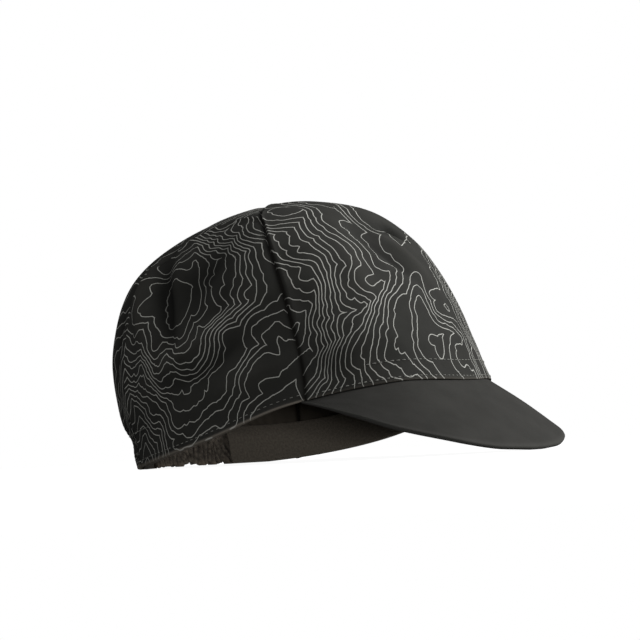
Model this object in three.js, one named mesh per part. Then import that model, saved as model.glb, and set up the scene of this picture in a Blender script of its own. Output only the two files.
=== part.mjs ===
// A soft cycling cap, standing on a flat surface on the back of its hem and the rim of its peak.
// Units are millimetres. +Z is up, the peak points along -Y and the wearer's right is -X.

import * as THREE from 'three';

// Walls and clearances
const clothWall = 1.2;
const bandWall = 1.6;
const casingWall = 2;
const peakWall = 2.2;
const peakCornerWall = 1;
const seamGap = 0.3;
const liningGap = 0.4;

// The crown, measured from the upright line through its top
const crownHalfWidth = 86;
const crownFront = 95;
const crownBack = 107;
const crownTop = 130;

// The hem line, the sweatband and the elastic at the back
const hemFrontHeight = 35;
const bandHeight = 18;
const backSeamTurn = 131;
const elasticTurn = 157;
const gatherDepth = 1.3;
const gatherColumns = 4;
const gatherHeight = 30;
const gatherSpread = 42;
const casingRipple = 0.5;

// The peak
const peakCornerTurn = 57;
const peakReach = 35.5;
const peakHalfWidth = 75;
const peakArch = 2;

// Sections of the crown from its top (reach 0) to its hem (reach 1). The other columns are shares of
// crownHalfWidth, crownFront and crownBack.
const crownSections = [
  { reach: 0, width: 0, front: 0, back: 0 },
  { reach: 0.16, width: 0.276, front: 0.215, back: 0.285 },
  { reach: 0.32, width: 0.545, front: 0.411, back: 0.56 },
  { reach: 0.45, width: 0.735, front: 0.53, back: 0.785 },
  { reach: 0.55, width: 0.85, front: 0.62, back: 0.91 },
  { reach: 0.66, width: 0.932, front: 0.717, back: 0.975 },
  { reach: 0.775, width: 0.98, front: 0.81, back: 0.987 },
  { reach: 0.88, width: 0.987, front: 0.895, back: 0.938 },
  { reach: 0.95, width: 0.977, front: 0.95, back: 0.865 },
  { reach: 1, width: 0.97, front: 1, back: 0.822 },
];

// The hem line's height at each turn from the front, in degrees, as shares of hemFrontHeight. The first
// and last rows repeat their neighbours past the middle, which keeps the line level there.
const hemLine = [
  { turn: -30, height: 1 },
  { turn: 0, height: 1 },
  { turn: 30, height: 1 },
  { turn: 62, height: 0.76 },
  { turn: 90, height: 0.345 },
  { turn: 120, height: 0.095 },
  { turn: 148, height: 0 },
  { turn: 180, height: 0 },
  { turn: 212, height: 0 },
];

// The peak's rim from its middle (along 0) to its corner (along 1). Side is a share of peakHalfWidth, ahead
// runs from the corners (0) to the tip (1), and height is a share of the hem's height above the rim. The
// first row lies past the middle.
const peakRim = [
  { along: -0.3, side: -0.4, ahead: 0.94, height: 0.04 },
  { along: 0, side: 0, ahead: 1, height: 0 },
  { along: 0.15, side: 0.19, ahead: 0.986, height: 0.01 },
  { along: 0.3, side: 0.4, ahead: 0.94, height: 0.04 },
  { along: 0.5, side: 0.66, ahead: 0.82, height: 0.16 },
  { along: 0.7, side: 0.885, ahead: 0.585, height: 0.365 },
  { along: 0.85, side: 0.97, ahead: 0.36, height: 0.6 },
  { along: 0.94, side: 0.99, ahead: 0.19, height: 0.78 },
  { along: 1, side: 0.955, ahead: -0.01, height: 0.94 },
];

// Creases and hollows in the cloth. Turn and lean are in degrees, rise is the share of the way from the
// hem to the top, and length, width and depth are shares of the crown's height.
const creases = [
  { turn: 9, rise: 0.785, lean: 0, length: 0.06, width: 0.06, depth: 0.022 },
  { turn: 3, rise: 0.66, lean: 22, length: 0.15, width: 0.055, depth: 0.016 },
  { turn: 0, rise: 0.735, lean: 62, length: 0.11, width: 0.05, depth: 0.012 },
  { turn: -102, rise: 0.59, lean: -24, length: 0.24, width: 0.065, depth: 0.03 },
  { turn: -88, rise: 0.62, lean: -10, length: 0.17, width: 0.17, depth: 0.014 },
];

// Seams on the flattened crown, a disc whose middle is the top and whose edge is the hem. Side runs away
// from the middle and ahead runs to the front, both as shares of the disc's radius.
const seamShoulder = { side: 0.31, ahead: 0.1 };
const topSeamPull = { side: 0, ahead: -0.2 };
const frontSeamPull = { side: 0.68, ahead: 0.56 };
const backSeamPulls = [{ side: 0.78, ahead: -0.42 }, { side: 0.22, ahead: -0.22 }];
const seamTipTrim = 1.2;

// How finely the pieces are divided
const panelRows = 20;
const hemRowCrowding = 1.25;
const frontColumns = 30;
const sideColumns = 18;
const backColumns = 48;
const bandColumns = 56;
const casingColumns = 24;
const liningRows = 2;
const peakColumns = 28;
const peakRows = 7;

const degree = Math.PI / 180;
const discStep = 0.002;

// Reads one column of a table at a place, along a smooth curve through its rows and straight past its ends.
function readTable(table, by, column, place) {
  const last = table.length - 1;
  const inside = THREE.MathUtils.clamp(place, table[0][by], table[last][by]);
  let row = 0;
  while (row < last - 1 && inside > table[row + 1][by]) row += 1;
  const slopeAt = (index) => {
    const before = table[Math.max(index - 1, 0)];
    const after = table[Math.min(index + 1, last)];
    return (after[column] - before[column]) / (after[by] - before[by]);
  };
  const from = table[row];
  const to = table[row + 1];
  const span = to[by] - from[by];
  const share = (inside - from[by]) / span;
  const square = share * share;
  const cube = square * share;
  const curve = (2 * cube - 3 * square + 1) * from[column]
    + (cube - 2 * square + share) * span * slopeAt(row)
    + (3 * square - 2 * cube) * to[column]
    + (cube - square) * span * slopeAt(row + 1);
  return curve + (place - inside) * slopeAt(place < inside ? 0 : last);
}

// Height of the hem line at a turn from the front, in radians.
function hemHeight(turn) {
  return hemFrontHeight * Math.max(readTable(hemLine, 'turn', 'height', Math.abs(turn) / degree), 0);
}

// The crown without creases or gathers, at a place on the flattened disc.
function smoothCrown(side, ahead) {
  const turn = Math.atan2(side, ahead);
  const reach = Math.hypot(side, ahead);
  const width = crownHalfWidth * readTable(crownSections, 'reach', 'width', reach);
  const depth = ahead > 0
    ? crownFront * readTable(crownSections, 'reach', 'front', reach)
    : crownBack * readTable(crownSections, 'reach', 'back', reach);
  const hem = hemHeight(turn);
  const height = hem + (crownTop - hem) * (1 - reach * reach);
  return new THREE.Vector3(width * Math.sin(turn), -depth * Math.cos(turn), height);
}

// Outward direction of a surface given over the flattened disc.
function outward(surface, side, ahead) {
  const across = surface(side + discStep, ahead).sub(surface(side - discStep, ahead));
  const forward = surface(side, ahead + discStep).sub(surface(side, ahead - discStep));
  return forward.cross(across).normalize();
}

// How far the cloth stands out from the smooth crown. Ripple is 1 for cloth that follows the gathers
// fully and less for a lining, which lies level with their hollows.
function clothRelief(side, ahead, ripple) {
  const turn = Math.atan2(side, ahead);
  const rise = 1 - side * side - ahead * ahead;
  const climb = Math.max(rise, 0) * (crownTop - hemHeight(turn));
  const fade = Math.max(0, 1 - climb / gatherHeight) ** 2;
  const gathered = THREE.MathUtils.smoothstep(Math.abs(turn) / degree, elasticTurn - gatherSpread, elasticTurn);
  const gatherTurn = gatherColumns * (2 * Math.PI - 2 * backSeamTurn * degree) / backColumns;
  const wave = Math.cos((Math.PI - Math.abs(turn)) * 2 * Math.PI / gatherTurn);
  let relief = gatherDepth * fade * gathered * (ripple * wave - (1 - ripple));
  for (const crease of creases) {
    const reach = Math.hypot(side, ahead);
    const across = (turn - crease.turn * degree) * reach;
    const up = rise - crease.rise;
    const tilt = crease.lean * degree;
    const along = up * Math.cos(tilt) + across * Math.sin(tilt);
    const aside = across * Math.cos(tilt) - up * Math.sin(tilt);
    relief -= crownTop * crease.depth * Math.exp(-((along / crease.length) ** 2) - (aside / crease.width) ** 2);
  }
  return relief;
}

// Outward direction of a surface, turned level towards the hem, so that the hem's edge is flat.
function outwardLevel(surface, side, ahead) {
  const direction = outward(surface, side, ahead);
  const climb = (1 - side * side - ahead * ahead) * crownTop;
  direction.z *= THREE.MathUtils.smoothstep(climb, 0, bandHeight / 2);
  return direction.normalize();
}

// The outer face of the cloth.
function clothFace(side, ahead, ripple) {
  const relief = clothRelief(side, ahead, ripple);
  return smoothCrown(side, ahead).addScaledVector(outwardLevel(smoothCrown, side, ahead), relief);
}

// A point at a depth inside the outer face.
function pointInside(side, ahead, depth, ripple) {
  const lining = ripple < 1;
  const direction = outwardLevel(lining ? smoothCrown : (a, b) => clothFace(a, b, ripple), side, ahead);
  return clothFace(side, ahead, ripple).addScaledVector(direction, -depth);
}

// The place on the disc at a turn from the front and a height above the hem.
function discPlace(turn, climb) {
  const reach = Math.sqrt(1 - climb / (crownTop - hemHeight(Math.atan2(Math.sin(turn), Math.cos(turn)))));
  return new THREE.Vector2(reach * Math.sin(turn), reach * Math.cos(turn));
}

function discPoint(place, sign) {
  return new THREE.Vector2(sign * place.side, place.ahead);
}

function hemPlace(turn) {
  return new THREE.Vector2(Math.sin(turn), Math.cos(turn));
}

// The three kinds of seam, as curves on the disc. Sign is -1 on the wearer's right and 1 on the left.
function frontSeam(sign) {
  const foot = hemPlace(sign * peakCornerTurn * degree);
  return new THREE.QuadraticBezierCurve(foot, discPoint(frontSeamPull, sign), discPoint(seamShoulder, sign));
}

function backSeam(sign) {
  const foot = hemPlace(sign * backSeamTurn * degree);
  const pulls = backSeamPulls.map((pull) => discPoint(pull, sign));
  return new THREE.CubicBezierCurve(foot, ...pulls, discPoint(seamShoulder, sign));
}

function topSeam() {
  return new THREE.QuadraticBezierCurve(
    discPoint(seamShoulder, -1), discPoint(topSeamPull, 1), discPoint(seamShoulder, 1));
}

// A closed wall between two grids of points, given as rows of equal length. Rows run up and columns run
// from the wearer's right to the left, as seen from outside.
function wallBetween(outer, inner) {
  const rows = outer.length;
  const columns = outer[0].length;
  const positions = [...outer, ...inner].flat().flatMap((point) => point.toArray());
  const index = [];
  const outerAt = (row, column) => row * columns + column;
  const innerAt = (row, column) => (rows + row) * columns + column;
  const quad = (a, b, c, d) => index.push(a, b, c, a, c, d);
  for (let row = 0; row < rows - 1; row += 1) {
    for (let column = 0; column < columns - 1; column += 1) {
      quad(outerAt(row, column), outerAt(row, column + 1), outerAt(row + 1, column + 1), outerAt(row + 1, column));
      quad(innerAt(row, column), innerAt(row + 1, column), innerAt(row + 1, column + 1), innerAt(row, column + 1));
    }
    const end = columns - 1;
    quad(outerAt(row, 0), outerAt(row + 1, 0), innerAt(row + 1, 0), innerAt(row, 0));
    quad(outerAt(row + 1, end), outerAt(row, end), innerAt(row, end), innerAt(row + 1, end));
  }
  for (let column = 0; column < columns - 1; column += 1) {
    const top = rows - 1;
    quad(outerAt(0, column + 1), outerAt(0, column), innerAt(0, column), innerAt(0, column + 1));
    quad(outerAt(top, column), outerAt(top, column + 1), innerAt(top, column + 1), innerAt(top, column));
  }
  const geometry = new THREE.BufferGeometry();
  geometry.setAttribute('position', new THREE.Float32BufferAttribute(positions, 3));
  geometry.setIndex(index);
  geometry.computeVertexNormals();
  return geometry;
}

// A grid of values from a function of a row share and a column share, each from 0 to 1.
function grid(rows, columns, valueAt) {
  return Array.from({ length: rows + 1 }, (_, row) => (
    Array.from({ length: columns + 1 }, (__, column) => valueAt(row / rows, column / columns))));
}

// A place on the disc between four curves: the foot and the head run across, the sides run up.
function placeBetween(foot, head, start, end, up, across) {
  const place = foot.getPoint(across).multiplyScalar(1 - up).addScaledVector(head.getPoint(across), up);
  place.addScaledVector(start.getPoint(up), 1 - across).addScaledVector(end.getPoint(up), across);
  place.addScaledVector(foot.getPoint(0), -(1 - across) * (1 - up));
  place.addScaledVector(foot.getPoint(1), -across * (1 - up));
  place.addScaledVector(head.getPoint(0), -(1 - across) * up);
  return place.addScaledVector(head.getPoint(1), -across * up);
}

// The length on the smooth crown of a line of places.
function lengthOf(placeAt) {
  const steps = 12;
  let length = 0;
  let before = placeAt(0);
  for (let step = 1; step <= steps; step += 1) {
    const after = placeAt(step / steps);
    length += smoothCrown(before.x, before.y).distanceTo(smoothCrown(after.x, after.y));
    before = after;
  }
  return length;
}

// A share from 0 to 1 drawn in from both ends by the given trims.
function trimmed(share, fromStart, fromEnd) {
  return fromStart + share * (1 - fromStart - fromEnd);
}

// A cloth panel between four curves on the disc, drawn in at its seams so that it clears its neighbours.
function clothPanel(foot, head, start, end, columns, headTrim) {
  const placeAt = (up, across) => placeBetween(foot, head, start, end, up, across);
  const places = grid(panelRows, columns, (row, across) => {
    const height = lengthOf((share) => placeAt(share, across));
    const up = trimmed(row ** hemRowCrowding, 0, headTrim / height);
    const width = lengthOf((share) => placeAt(up, share));
    const sideTrim = seamGap / 2 / width;
    return placeAt(up, trimmed(across, sideTrim, sideTrim));
  });
  const faceAt = (depth) => places.map((row) => row.map((place) => pointInside(place.x, place.y, depth, 1)));
  return wallBetween(faceAt(0), faceAt(clothWall));
}

// A stretch of the hem on the disc, between two turns in degrees.
function hemArc(fromTurn, toTurn) {
  return new THREE.EllipseCurve(0, 0, 1, 1, (90 - fromTurn) * degree, (90 - toTurn) * degree, fromTurn < toTurn);
}

function frontPanel() {
  const foot = hemArc(-peakCornerTurn, peakCornerTurn);
  return clothPanel(foot, topSeam(), frontSeam(-1), frontSeam(1), frontColumns, seamGap / 2);
}

function backPanel() {
  const foot = hemArc(backSeamTurn, 360 - backSeamTurn);
  const head = new THREE.QuadraticBezierCurve(
    discPoint(seamShoulder, 1), discPoint(topSeamPull, 1), discPoint(seamShoulder, -1));
  return clothPanel(foot, head, backSeam(1), backSeam(-1), backColumns, seamGap);
}

function sidePanel(sign) {
  const tip = new THREE.LineCurve(discPoint(seamShoulder, sign), discPoint(seamShoulder, sign));
  const foot = sign > 0
    ? hemArc(peakCornerTurn, backSeamTurn)
    : hemArc(-backSeamTurn, -peakCornerTurn);
  const seams = sign > 0 ? [frontSeam(sign), backSeam(sign)] : [backSeam(sign), frontSeam(sign)];
  return clothPanel(foot, tip, seams[0], seams[1], sideColumns, seamTipTrim);
}

// A strip lining the hem between two turns in degrees.
function hemLining(fromTurn, toTurn, columns, wall, ripple) {
  const depth = clothWall + liningGap;
  const faceAt = (inset) => grid(liningRows, columns, (row, across) => {
    const turn = THREE.MathUtils.lerp(fromTurn, toTurn, across) * degree;
    const place = discPlace(turn, row * bandHeight);
    return pointInside(place.x, place.y, depth + inset, ripple);
  });
  return wallBetween(faceAt(0), faceAt(wall));
}

function sweatband() {
  const endTurn = elasticTurn - liningGap / crownBack / degree;
  return hemLining(-endTurn, endTurn, bandColumns, bandWall, 0);
}

function elasticCasing() {
  return hemLining(elasticTurn, 360 - elasticTurn, casingColumns, casingWall, casingRipple);
}

// The upper face of the peak. Along runs from -1 at the wearer's right corner to 1, and out from 0 at
// the hem to 1 at the rim.
function peakTopFace(along, out) {
  const turn = along * peakCornerTurn * degree;
  const root = pointInside(Math.sin(turn), Math.cos(turn), clothWall, 1);
  root.z -= seamGap;
  const cornerAhead = crownFront * Math.cos(peakCornerTurn * degree);
  const rimShare = (column) => readTable(peakRim, 'along', column, Math.abs(along));
  const rim = new THREE.Vector3(
    Math.sign(along) * peakHalfWidth * rimShare('side'),
    -cornerAhead - (crownFront + peakReach - cornerAhead) * rimShare('ahead'),
    rimHeight(along) + peakThickness(along),
  );
  const arch = peakArch * Math.sin(out * Math.PI) * Math.cos(along * Math.PI / 2);
  return root.lerp(rim, out).add(new THREE.Vector3(0, 0, arch));
}

// The peak thins towards its two corners.
function peakThickness(along) {
  return THREE.MathUtils.lerp(peakWall, peakCornerWall, THREE.MathUtils.smoothstep(Math.abs(along), 0.8, 1));
}

// Height of the rim's lower edge.
function rimHeight(along) {
  const share = readTable(peakRim, 'along', 'height', Math.abs(along));
  return Math.max(share, 0) * hemHeight(along * peakCornerTurn * degree);
}

function peak() {
  const alongAt = (across) => THREE.MathUtils.lerp(-1, 1, across);
  const top = grid(peakRows, peakColumns, (row, across) => peakTopFace(alongAt(across), 1 - row));
  const bottom = grid(peakRows, peakColumns, (row, across) => {
    const along = alongAt(across);
    const out = 1 - row;
    const outStep = Math.min(out + discStep, 1);
    const inStep = Math.max(out - discStep, 0);
    const forward = peakTopFace(along, outStep).sub(peakTopFace(along, inStep));
    const sideways = peakTopFace(along + discStep, out).sub(peakTopFace(along - discStep, out));
    const point = peakTopFace(along, out).addScaledVector(forward.cross(sideways).normalize(), -peakThickness(along));
    if (row === 0) point.z = rimHeight(along);
    return point;
  });
  return wallBetween(top, bottom);
}

const printedCloth = new THREE.MeshStandardMaterial({ color: 0x2b2b29, roughness: 0.85, metalness: 0 });
const peakCloth = new THREE.MeshStandardMaterial({ color: 0x373837, roughness: 0.8, metalness: 0 });
const bandCloth = new THREE.MeshStandardMaterial({ color: 0x2a2724, roughness: 0.9, metalness: 0 });

function named(name, geometry, material) {
  const mesh = new THREE.Mesh(geometry, material);
  mesh.name = name;
  return mesh;
}

const cap = new THREE.Group();
cap.add(
  named('front_panel', frontPanel(), printedCloth),
  named('side_panel_right', sidePanel(-1), printedCloth),
  named('side_panel_left', sidePanel(1), printedCloth),
  named('back_panel', backPanel(), printedCloth),
  named('peak', peak(), peakCloth),
  named('sweatband', sweatband(), bandCloth),
  named('elastic_casing', elasticCasing(), bandCloth),
);

// The origin lies under the middle of the whole cap.
const middle = new THREE.Box3().setFromObject(cap).getCenter(new THREE.Vector3());
cap.position.set(-middle.x, -middle.y, 0);

export default cap;
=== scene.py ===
"""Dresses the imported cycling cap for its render.

The crown's printed panels, the peak, the sweatband and the elastic casing each stand for the
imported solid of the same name. The shape code works in millimetres, and Blender gets metres.
"""

import logging
import math
from dataclasses import dataclass, replace
from enum import Enum
from typing import Callable

import bpy
import numpy as np
from mathutils import Matrix, Vector

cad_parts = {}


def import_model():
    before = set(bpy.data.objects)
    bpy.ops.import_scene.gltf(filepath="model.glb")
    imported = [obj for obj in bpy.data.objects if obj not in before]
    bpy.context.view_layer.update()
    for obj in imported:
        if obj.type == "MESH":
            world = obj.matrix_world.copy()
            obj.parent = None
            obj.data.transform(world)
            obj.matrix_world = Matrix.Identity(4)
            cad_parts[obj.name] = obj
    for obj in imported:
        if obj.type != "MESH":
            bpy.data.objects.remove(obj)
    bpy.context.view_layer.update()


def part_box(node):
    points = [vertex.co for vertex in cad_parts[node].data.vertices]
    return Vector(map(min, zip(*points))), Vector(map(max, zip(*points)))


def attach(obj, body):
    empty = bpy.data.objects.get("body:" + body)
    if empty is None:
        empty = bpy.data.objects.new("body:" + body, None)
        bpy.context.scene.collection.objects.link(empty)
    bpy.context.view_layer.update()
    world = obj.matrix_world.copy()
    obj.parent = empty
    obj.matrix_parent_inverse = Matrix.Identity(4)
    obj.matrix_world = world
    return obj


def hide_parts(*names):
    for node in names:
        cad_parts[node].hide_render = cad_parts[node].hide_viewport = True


LOG = logging.getLogger("cycling_cap")
MM = 0.001
TINY = 1e-12
BODY = "root"
BAKE_MAP = "OFBake"

# The values that each cloth mesh holds for its material; two of them paint light into its colour: a lighter
# tone for wear and painted highlight, and a darker one for painted shade
PLACE = "cloth_place"
PRINTED = "print_amount"
WEAR_AND_HIGHLIGHT_VALUE = "edge_wear"
PAINTED_SHADE_VALUE = "fold_hollow"

Array = np.ndarray
Surface = Callable[[Array, Array], Array]
Curve = Callable[[Array], Array]


def smooth_step(value: Array, low: float, high: float) -> Array:
    """Rises smoothly from 0 at low to 1 at high.

    Args:
        value: The values to weigh.
        low: Where the rise starts.
        high: Where the rise ends.

    Returns:
        Shares from 0 to 1.
    """
    share = np.clip((np.asarray(value, float) - low) / (high - low), 0.0, 1.0)
    return share * share * (3.0 - 2.0 * share)


def unit(vectors: Array) -> Array:
    """The vectors scaled to a length of 1."""
    return vectors / np.maximum(np.linalg.norm(vectors, axis=-1, keepdims=True), TINY)


def blend(start: Array, end: Array, share: Array) -> Array:
    """The values a share of the way from start to end."""
    return start + (end - start) * share


def stand_in_scene(name: str, data: bpy.types.ID) -> bpy.types.Object:
    """Makes an object of a mesh, a light or a camera and puts it in the scene.

    Args:
        name: The object's name.
        data: What it shows.

    Returns:
        The object.
    """
    thing = bpy.data.objects.new(name, data)
    bpy.context.scene.collection.objects.link(thing)
    return thing


def bell(distance: Array, width: float) -> Array:
    """1 at a distance of 0, falling off smoothly over a width on both sides."""
    return np.exp(-((distance / width) ** 2))


def across_grid(values: Array, rows: int) -> Array:
    """A grid of so many rows, each of which holds the values."""
    return values[None, :] * np.ones((rows, 1))


def up_grid(values: Array, columns: int) -> Array:
    """A grid of so many columns, each of which holds the values."""
    return values[:, None] * np.ones((1, columns))


@dataclass(frozen=True)
class Table:
    """A short table, read along a smooth curve through its rows."""

    places: tuple[float, ...]
    values: tuple[float, ...]

    def read(self, place: Array) -> Array:
        """Reads the table.

        Args:
            place: Where to read it, also past its ends.

        Returns:
            The values there.
        """
        xs, ys = np.array(self.places), np.array(self.values)
        rows = np.arange(len(xs))
        before, after = np.maximum(rows - 1, 0), np.minimum(rows + 1, rows[-1])
        slopes = (ys[after] - ys[before]) / (xs[after] - xs[before])
        inside = np.clip(place, xs[0], xs[-1])
        row = np.clip(np.searchsorted(xs, inside) - 1, 0, len(xs) - 2)
        span = xs[row + 1] - xs[row]
        share = (inside - xs[row]) / span
        square, cube = share**2, share**3
        curve = (
            (2 * cube - 3 * square + 1) * ys[row]
            + (cube - 2 * square + share) * span * slopes[row]
            + (3 * square - 2 * cube) * ys[row + 1]
            + (cube - square) * span * slopes[row + 1]
        )
        past = np.where(place < inside, slopes[0], slopes[-1])
        return curve + (place - inside) * past


@dataclass(frozen=True)
class Waves:
    """Smooth random waves over a surface, alike on each run: their height and how far each one runs."""

    seed: int
    height: float
    run: float
    rise: float = 1.0
    shift: tuple[float, float] = (0.0, 0.0)
    cells: int = 64

    def at(self, x: Array, y: Array | float = 0.0) -> Array:
        """Reads the waves.

        Args:
            x: Places along the surface.
            y: Places across the surface.

        Returns:
            Heights above and below 0.
        """
        lattice = np.random.default_rng(self.seed).uniform(-1, 1, (self.cells, self.cells))
        x = np.asarray(x, float) / self.run + self.shift[0]
        y = np.asarray(y, float) / self.rise + self.shift[1]
        x, y = np.broadcast_arrays(x, y)
        column, row = np.floor(x).astype(int), np.floor(y).astype(int)
        across, up = smooth_step(x - column, 0, 1), smooth_step(y - row, 0, 1)

        def corner(rows: int, columns: int) -> Array:
            """The lattice's values at one corner of each place's cell."""
            return lattice[(row + rows) % self.cells, (column + columns) % self.cells]

        low = blend(corner(0, 0), corner(0, 1), across)
        high = blend(corner(1, 0), corner(1, 1), across)
        return self.height * blend(low, high, up)


class Layer(Enum):
    """Which face of the crown's cloth is meant, by how full its gathers are."""

    OUTER = 1.0
    INNER = 0.25
    LINING = 0.0


@dataclass(frozen=True)
class Crease:
    """A hollow in the crown, in degrees, shares of the crown's rise, and shares of its height."""

    turn: float
    rise: float
    lean: float
    length: float
    width: float
    depth: float


@dataclass(frozen=True)
class Gathers:
    """The folds that the elastic draws the back of the hem into."""

    pitch: float = 5.8
    depth: float = 1.25
    half_width: float = 42.0
    spread: float = 58.0
    waist: float = 13.0
    waist_depth: float = 2.4
    waist_width: float = 5.0
    drawn_in: float = 1.2
    fade: float = 13.0
    puff: float = 0.66
    puff_rise: float = 9.0
    scallop: float = 2.2
    scallop_share: float = 0.3
    wander: Waves = Waves(seed=11, height=0.55, run=17, rise=34)
    uneven: Waves = Waves(seed=12, height=0.45, run=7.5, rise=26)
    slack: Waves = Waves(seed=13, height=0.8, run=13, rise=80)
    scallops: Waves = Waves(seed=14, height=0.6, run=3.4)
    frays: Waves = Waves(seed=15, height=0.2, run=1.4)

    def nearness(self, from_back: Array) -> Array:
        """How fully the hem is gathered, from 0 to 1, at distances from the middle of the back."""
        return 1 - smooth_step(np.abs(from_back), self.half_width, self.half_width + self.spread)

    def lift(self, from_back: Array) -> Array:
        """How far the gathered lower edge is drawn up.

        Args:
            from_back: Distance along the hem from the middle of the back.

        Returns:
            Distances upward.
        """
        wave = self.scallop_share + self.scallops.at(from_back) + self.frays.at(from_back)
        return self.scallop * np.clip(wave, 0, 1) * self.nearness(from_back)

    def relief(self, from_back: Array, climb: Array, fullness: float) -> Array:
        """How far the gathered cloth stands out.

        Args:
            from_back: Distance along the hem from the middle of the back.
            climb: Height above the hem.
            fullness: 1 for the outer face, and less for what lies inside it.

        Returns:
            Distances outward.
        """
        phase = 2 * math.pi * (from_back / self.pitch + self.wander.at(from_back, climb))
        ridges = self.depth * (1 + self.uneven.at(from_back, climb)) * np.cos(phase)
        folds = (ridges + self.slack.at(from_back, climb)) * fullness
        above = np.exp(-np.maximum(climb - self.waist, 0) / self.fade)
        puff = self.puff * smooth_step(climb, self.waist, self.waist + self.puff_rise)
        nip = self.waist_depth * bell(climb - self.waist, self.waist_width)
        nip += self.drawn_in * bell(climb, 2 * self.waist)
        return self.nearness(from_back) * ((folds + puff) * above - nip)


@dataclass(frozen=True)
class CrownShape:
    """The crown as a surface over a disc whose middle is the top and whose edge is the hem.

    A place on the disc is side, towards the wearer's left, and ahead, towards the front.
    """

    half_width: float = 86.0
    front: float = 95.0
    back: float = 107.0
    top: float = 130.0
    hem_front: float = 35.0
    wall: float = 1.2
    band_height: float = 18.0
    corner_turn: float = 57.0
    back_seam_turn: float = 131.0
    elastic_turn: float = 157.0
    hem_radius: float = 91.0
    disc_step: float = 0.002
    reaches: tuple[float, ...] = (0, 0.16, 0.32, 0.45, 0.55, 0.66, 0.775, 0.88, 0.95, 1)
    widths: tuple[float, ...] = (0, 0.276, 0.545, 0.735, 0.85, 0.932, 0.98, 0.987, 0.977, 0.97)
    fronts: tuple[float, ...] = (0, 0.215, 0.411, 0.53, 0.62, 0.717, 0.81, 0.895, 0.95, 1)
    backs: tuple[float, ...] = (0, 0.285, 0.56, 0.785, 0.91, 0.975, 0.987, 0.938, 0.865, 0.822)
    hem_line: Table = Table(
        (-30, 0, 30, 62, 90, 120, 148, 180, 212), (1, 1, 1, 0.76, 0.345, 0.095, 0, 0, 0)
    )
    # The creases dent the crown, and their depths also set the panels' painted shade; the shallow wide
    # dents at turns -7 and -79 are there mostly for that shade
    creases: tuple[Crease, ...] = (
        Crease(turn=9, rise=0.785, lean=-51, length=0.05, width=0.02, depth=0.04),
        Crease(turn=11, rise=0.81, lean=-51, length=0.035, width=0.014, depth=0.022),
        Crease(turn=-1, rise=0.8, lean=-51, length=0.05, width=0.03, depth=0.01),
        Crease(turn=-2.8, rise=0.705, lean=-30, length=0.09, width=0.032, depth=-0.013),
        Crease(turn=-9.5, rise=0.63, lean=-34, length=0.13, width=0.03, depth=0.016),
        Crease(turn=3, rise=0.6, lean=-20, length=0.13, width=0.045, depth=-0.01),
        Crease(turn=-7, rise=0.73, lean=-34, length=0.15, width=0.07, depth=0.012),
        Crease(turn=-79, rise=0.54, lean=10, length=0.12, width=0.05, depth=0.014),
        Crease(turn=-28, rise=0.62, lean=0, length=0.2, width=0.06, depth=-0.012),
        Crease(turn=-47, rise=0.13, lean=0, length=0.09, width=0.09, depth=0.014),
        Crease(turn=-106, rise=0.61, lean=-24, length=0.2, width=0.036, depth=0.046),
        Crease(turn=-115, rise=0.57, lean=-20, length=0.2, width=0.05, depth=-0.022),
        Crease(turn=-90, rise=0.67, lean=24, length=0.17, width=0.1, depth=0.028),
        Crease(turn=-88, rise=0.385, lean=72, length=0.3, width=0.045, depth=-0.022),
        Crease(turn=-84, rise=0.285, lean=76, length=0.26, width=0.05, depth=0.014),
        Crease(turn=-70, rise=0.165, lean=86, length=0.2, width=0.045, depth=-0.014),
        Crease(turn=-133, rise=0.5, lean=6, length=0.26, width=0.05, depth=0.022),
        Crease(turn=95, rise=0.55, lean=14, length=0.22, width=0.05, depth=0.028),
        Crease(turn=88, rise=0.36, lean=-68, length=0.26, width=0.05, depth=-0.016),
        Crease(turn=172, rise=0.6, lean=-9, length=0.24, width=0.06, depth=0.024),
        Crease(turn=146, rise=0.42, lean=10, length=0.2, width=0.05, depth=0.022),
    )
    slack_rise: tuple[float, float] = (2.0, 26.0)
    slack: tuple[Waves, ...] = (
        Waves(seed=21, height=1.0, run=1 / 3.1, rise=1 / 3.1, shift=(9, 5)),
        Waves(seed=22, height=0.4, run=1 / 8.3, rise=1 / 8.3, shift=(3, 7)),
    )
    gathers: Gathers = Gathers()
    origin: tuple[float, float] = (0.0, 0.0)

    def hem(self, turn: Array) -> Array:
        """Height of the hem line at turns from the front, in radians."""
        folded = np.abs((turn + math.pi) % (2 * math.pi) - math.pi)
        return self.hem_front * np.maximum(self.hem_line.read(np.degrees(folded)), 0)

    def smooth(self, side: Array, ahead: Array) -> Array:
        """The crown without creases or gathers.

        Args:
            side: Places on the disc towards the wearer's left.
            ahead: Places on the disc towards the front.

        Returns:
            Points in millimetres, in the part's frame.
        """
        turn, reach = np.arctan2(side, ahead), np.hypot(side, ahead)
        width = self.half_width * Table(self.reaches, self.widths).read(reach)
        front = self.front * Table(self.reaches, self.fronts).read(reach)
        back = self.back * Table(self.reaches, self.backs).read(reach)
        depth = np.where(ahead > 0, front, back)
        hem = self.hem(turn)
        height = hem + (self.top - hem) * (1 - reach**2)
        x = width * np.sin(turn) + self.origin[0]
        y = -depth * np.cos(turn) + self.origin[1]
        return np.stack([x, y, height], axis=-1)

    def outward(self, surface: Surface, side: Array, ahead: Array) -> Array:
        """Outward directions of a surface over the disc, turned level towards the hem.

        Args:
            surface: The surface.
            side: Places on the disc towards the wearer's left.
            ahead: Places on the disc towards the front.

        Returns:
            Directions of length 1.
        """
        step = self.disc_step
        across = surface(side + step, ahead) - surface(side - step, ahead)
        forward = surface(side, ahead + step) - surface(side, ahead - step)
        direction = unit(np.cross(forward, across))
        climb = (1 - side**2 - ahead**2) * self.top
        direction[..., 2] *= smooth_step(climb, 0, self.band_height / 2)
        return unit(direction)

    def from_back(self, side: Array, ahead: Array) -> Array:
        """Distances along the hem from the middle of the back, of places on the disc."""
        return (np.arctan2(side, ahead) % (2 * math.pi) - math.pi) * self.hem_radius

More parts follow.
